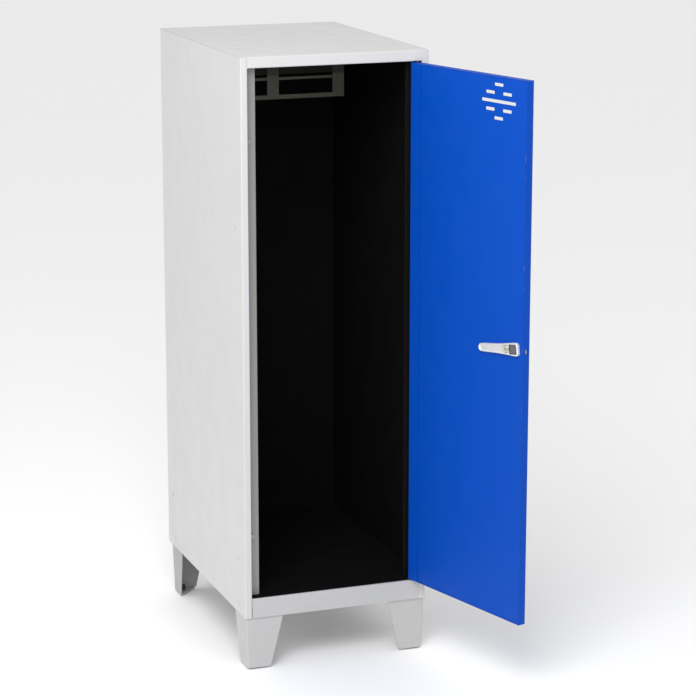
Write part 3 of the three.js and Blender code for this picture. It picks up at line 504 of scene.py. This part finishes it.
# ------------------------------------------------------------------ latch levers and caps
def lever_outline(low, high, inset=0.0, corner_steps=8, edge_steps=10):
    """The lever seen from the front, in its own frame: blunt heel at -x, round tip at +x."""
    half = high.z
    heel = low.x + LEVER_HEEL_CORNER
    tip = high.x - LEVER_TIP_RADIUS
    taper = math.atan2(half - LEVER_TIP_RADIUS, tip - heel)
    square = math.pi / 2
    arcs = [
        (heel, LEVER_HEEL_CORNER - half, LEVER_HEEL_CORNER, 2 * square, 3 * square + taper),
        (tip, 0.0, LEVER_TIP_RADIUS, taper - square, square - taper),
        (heel, half - LEVER_HEEL_CORNER, LEVER_HEEL_CORNER, square - taper, 2 * square),
    ]
    rounds = []
    for x, z, radius, start, end in arcs:
        angles = [start + (end - start) * step / corner_steps for step in range(corner_steps + 1)]
        reach = radius - inset
        rounds.append([Vector((x + reach * math.cos(a), z + reach * math.sin(a))) for a in angles])
    lower_heel, round_tip, upper_heel = rounds
    lower_edge = waisted_edge(lower_heel[-1], round_tip[0], edge_steps)
    upper_edge = waisted_edge(round_tip[-1], upper_heel[0], edge_steps)
    return [*lower_heel, *lower_edge, *round_tip, *upper_edge, *upper_heel]


def waisted_edge(start, end, steps):
    """Points between two ends, drawn in towards the lever's middle line."""
    points = []
    for step in range(1, steps):
        share = step / steps
        point = start.lerp(end, share)
        point.y -= math.copysign(LEVER_WAIST * math.sin(math.pi * share) ** 2, point.y)
        points.append(point)
    return points


def stacked_mesh(name, rings, material):
    """A closed mesh through rings of equal length, capped at both ends. Points are (x, y, z)."""
    mesh = bpy.data.meshes.new(name)
    work = bmesh.new()
    loops = [[work.verts.new(point) for point in ring] for ring in rings]
    count = len(loops[0])
    for lower, upper in zip(loops, loops[1:]):
        for i in range(count):
            j = (i + 1) % count
            work.faces.new((lower[i], lower[j], upper[j], upper[i]))
    work.faces.new(loops[0][::-1])
    work.faces.new(loops[-1])
    bmesh.ops.recalc_face_normals(work, faces=work.faces)
    work.to_mesh(mesh)
    work.free()
    piece = bpy.data.objects.new(name, mesh)
    bpy.context.scene.collection.objects.link(piece)
    mesh.materials.append(material)
    return piece


def cut(piece, cutter, material=None):
    """Cuts one mesh out of another for good. The cut faces take the cutter's material."""
    if material is not None:
        cutter.data.materials.clear()
        cutter.data.materials.append(material)
        piece.data.materials.append(material)
    modifier = piece.modifiers.new("cut", "BOOLEAN")
    modifier.operation = "DIFFERENCE"
    modifier.solver = "EXACT"
    modifier.material_mode = "TRANSFER"
    modifier.object = cutter
    bake_modifiers(piece)
    bpy.data.objects.remove(cutter)


def bake_modifiers(piece):
    """Replaces the piece's mesh by the one its modifiers make."""
    graph = bpy.context.evaluated_depsgraph_get()
    made = bpy.data.meshes.new_from_object(piece.evaluated_get(graph))
    piece.modifiers.clear()
    piece.data = made


def smooth(piece, angle=35):
    for polygon in piece.data.polygons:
        polygon.use_smooth = True
    piece.data.set_sharp_from_angle(angle=math.radians(angle))


def place(piece, to_row, body, *nodes, slot="cast_metal"):
    """Moves a mesh drawn in a turned frame into the row frame, and makes it stand for CAD nodes."""
    piece.data.transform(to_row)
    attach(piece, body)
    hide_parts(*nodes)


def rounded_block(name, low, high, radius, material, steps=6):
    """A block whose outline has round corners, drawn in (x, z) and as deep as y says."""
    corners = [
        (high.x - radius, low.z + radius, -math.pi / 2),
        (high.x - radius, high.z - radius, 0.0),
        (low.x + radius, high.z - radius, math.pi / 2),
        (low.x + radius, low.z + radius, math.pi),
    ]
    outline = []
    for x, z, start in corners:
        for step in range(steps + 1):
            angle = start + (math.pi / 2) * step / steps
            outline.append((x + radius * math.cos(angle), z + radius * math.sin(angle)))
    rings = [[(x, y, z) for x, z in outline] for y in (low.y, high.y)]
    return stacked_mesh(name, rings, material)


def make_lever(name, node, side):
    """side is 1 for the lever inside the door and -1 for the one outside it."""
    low, high = box_in(node, lever_to_row)
    half = (high.z - low.z) / 2
    low, high = Vector((low.x, low.y, -half)), Vector((high.x, high.y, half))
    back, face = (low.y, high.y) if side > 0 else (high.y, low.y)
    # Each level is an inset from the outline and its place in y, from the back to the sunk face.
    levels = [(LEVER_BACK_CHAMFER, back), (0.0, back + side * LEVER_BACK_CHAMFER)]
    for step in range(LEVER_RIM_STEPS + 1):
        angle = math.pi / 2 * step / LEVER_RIM_STEPS
        inset = LEVER_RIM_ROUND * (1 - math.cos(angle))
        levels.append((inset, face - side * LEVER_RIM_ROUND * (1 - math.sin(angle))))
    levels.append((LEVER_RIM, face))
    levels.append((LEVER_RIM + LEVER_LIP_WIDTH, face - side * LEVER_LIP_DROP))
    levels.append((LEVER_RIM + LEVER_SINK_WALL, face - side * LEVER_SINK))
    rings = [[(x, y, z) for x, z in lever_outline(low, high, inset)] for inset, y in levels]
    lever = stacked_mesh(name, rings, cast_metal)
    # The sunk face gets a darker copy of the cast metal as painted shade.
    lever.data.materials.append(sunk_face_painted_shade)
    sunk_face = lever.data.polygons[-1]
    sunk_face.material_index = len(lever.data.materials) - 1

    cap_low, cap_high = box_in(node.replace("latch_lever", "lever_cap"), lever_to_row)
    cap_radius = (cap_high.x - cap_low.x) / 2
    floor_y = face - side * POCKET_DEPTH
    open_y = face + side * CUTTER_PROUD
    pocket_low = Vector((low.x + POCKET_RIM, min(floor_y, open_y), low.z + POCKET_RIM))
    pocket_high = Vector((-cap_radius - POCKET_FROM_CAP, max(floor_y, open_y), high.z - POCKET_RIM))
    # The pocket and the cap's seat take a dark copy of the cast metal as painted shade in the hollows.
    pocket = rounded_block("pocket", pocket_low, pocket_high, POCKET_CORNER, pocket_painted_shade)
    cut(lever, pocket, pocket_painted_shade)

    seat_radius = cap_radius + CAP_SEAT_GAP
    seat_floor = face - side * CAP_SEAT_DEPTH
    seat = turned("seat", [(seat_radius, seat_floor), (seat_radius, open_y)], pocket_painted_shade)
    cut(lever, seat, pocket_painted_shade)
    smooth(lever)
    place(lever, lever_to_row, "latch_lever", node)


def turned(name, profile, material, steps=48):
    """A closed round piece about the spindle. The profile is a list of (radius, y)."""
    rings = []
    for radius, y in profile:
        spokes = (2 * math.pi * step / steps for step in range(steps))
        rings.append([(radius * math.cos(spoke), y, radius * math.sin(spoke)) for spoke in spokes])
    return stacked_mesh(name, rings, material)


def make_cap(name, node, side):
    """A round cap with a raised ring and a slot across its sunk middle."""
    low, high = box_in(node, lever_to_row)
    radius = (high.x - low.x) / 2
    seat, proud = (low.y, high.y) if side > 0 else (high.y, low.y)
    sunk = proud - side * CAP_SINK
    profile = [
        (radius, seat),
        (radius, proud - side * CAP_OUTER_ROUND),
        (radius - CAP_SMALL_ROUND, proud - side * CAP_SMALL_ROUND),
        (radius - CAP_OUTER_ROUND, proud),
        (radius - CAP_RING, proud),
        (radius - CAP_RING - CAP_INNER_ROUND, proud - side * CAP_SMALL_ROUND),
        (radius - CAP_RING - CAP_INNER_WALL, sunk),
        (CAP_CENTRE_RADIUS, sunk),
    ]
    cap = turned(name, profile, cap_metal)
    slot_floor = sunk - side * CAP_SLOT_DEPTH
    slot_top = proud + side * CAP_CUTTER_PROUD
    slot_low = Vector((-CAP_SLOT_HALF_LENGTH, min(slot_floor, slot_top), -CAP_SLOT_HALF_WIDTH))
    slot_high = Vector((CAP_SLOT_HALF_LENGTH, max(slot_floor, slot_top), CAP_SLOT_HALF_WIDTH))
    slot = rounded_block("slot", slot_low, slot_high, CAP_SLOT_CORNER, dark_steel)
    cut(cap, slot, dark_steel)
    smooth(cap)
    place(cap, lever_to_row, "latch_lever", node)


for where, side in (("inner", 1), ("outer", -1)):
    make_lever(f"lever_{where}", f"latch_lever_{where}", side)
    make_cap(f"cap_{where}", f"lever_cap_{where}", side)


# ------------------------------------------------------------------ welds in the door frame
def make_weld(name, x, bottom, top):
    """A dressed weld bead up a butt joint in the front of the cabinet: round, with soft ends."""
    levels = [(share, bottom + rise * WELD_RADIUS) for share, rise in WELD_ENDS]
    levels += [(share, top - rise * WELD_RADIUS) for share, rise in reversed(WELD_ENDS)]
    middle_y = body_low.y + WELD_RADIUS * WELD_SINK_SHARE
    spokes = [2 * math.pi * side / WELD_SIDES for side in range(WELD_SIDES)]
    rings = []
    for share, z in levels:
        reach = share * WELD_RADIUS
        rings.append([(x + reach * math.cos(a), middle_y + reach * math.sin(a), z) for a in spokes])
    weld = stacked_mesh(name, rings, grey_paint)
    smooth(weld)
    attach(weld, "cabinet")


door_low, door_high = door_edges
header_bottom = door_high.z + DOOR_GAP
rail_top = door_low.z - DOOR_GAP
frame_left = door_low.x - DOOR_GAP
frame_right = door_high.x + DOOR_GAP
make_weld("header_weld_left", frame_left, header_bottom, body_high.z)
make_weld("header_weld_right", frame_right, header_bottom, body_high.z)
make_weld("rail_weld_right", frame_right, body_low.z, rail_top)


# ------------------------------------------------------------------ stage, lights and camera
def make_floor():
    mesh = bpy.data.meshes.new("floor")
    signs = [(-1, -1), (1, -1), (1, 1), (-1, 1)]
    corners = [(x * FLOOR_REACH, y * FLOOR_REACH, 0) for x, y in signs]
    mesh.from_pydata(corners, [], [(0, 1, 2, 3)])
    floor = bpy.data.objects.new("floor", mesh)
    floor.location.z = cad_low.z - FLOOR_DROP
    bpy.context.scene.collection.objects.link(floor)
    pale = NodeMaterial("pale floor")
    pale.set("Base Color", pale.mix(pale.noise(0.8, detail=3), FLOOR, toned(FLOOR, 0.985)))
    pale.set("Roughness", 0.65)
    mesh.materials.append(pale.material)


def make_sun(name, strength, elevation, azimuth, softness):
    """A soft distant light. Azimuth 0 shines from the front, and positive from the right."""
    data = bpy.data.lights.new(name, "SUN")
    data.energy = strength
    data.angle = math.radians(softness)
    light = bpy.data.objects.new(name, data)
    up, across = math.radians(elevation), math.radians(azimuth)
    source = Vector((math.sin(across) * math.cos(up), -math.cos(across) * math.cos(up), math.sin(up)))
    light.rotation_mode = "QUATERNION"
    light.rotation_quaternion = source.to_track_quat("Z", "Y")
    bpy.context.scene.collection.objects.link(light)


def make_softbox():
    data = bpy.data.lights.new("softbox", "AREA")
    data.energy = SOFTBOX_POWER
    data.size = SOFTBOX_SIZE
    light = bpy.data.objects.new("softbox", data)
    light.location = SOFTBOX_PLACE
    light.rotation_mode = "QUATERNION"
    light.rotation_quaternion = (SOFTBOX_PLACE - SOFTBOX_TARGET).to_track_quat("Z", "Y")
    light.visible_camera = False
    bpy.context.scene.collection.objects.link(light)


def make_world():
    world = bpy.data.worlds.new("studio")
    world.use_nodes = True
    background = world.node_tree.nodes["Background"]
    background.inputs["Color"].default_value = (1, 1, 1, 1)
    background.inputs["Strength"].default_value = WORLD_STRENGTH
    bpy.context.scene.world = world


def make_camera():
    data = bpy.data.cameras.new("camera")
    data.lens = CAMERA_LENS
    data.clip_end = CAMERA_FAR
    camera = bpy.data.objects.new("camera", data)
    camera.location = CAMERA_LOCATION
    camera.rotation_euler = (math.pi / 2 - CAMERA_TILT, 0, -CAMERA_TURN)
    bpy.context.scene.collection.objects.link(camera)
    bpy.context.scene.camera = camera


make_floor()
make_softbox()
make_sun("side light", **SIDE_LIGHT)
make_world()
make_camera()
bpy.context.scene.view_settings.view_transform = "Standard"
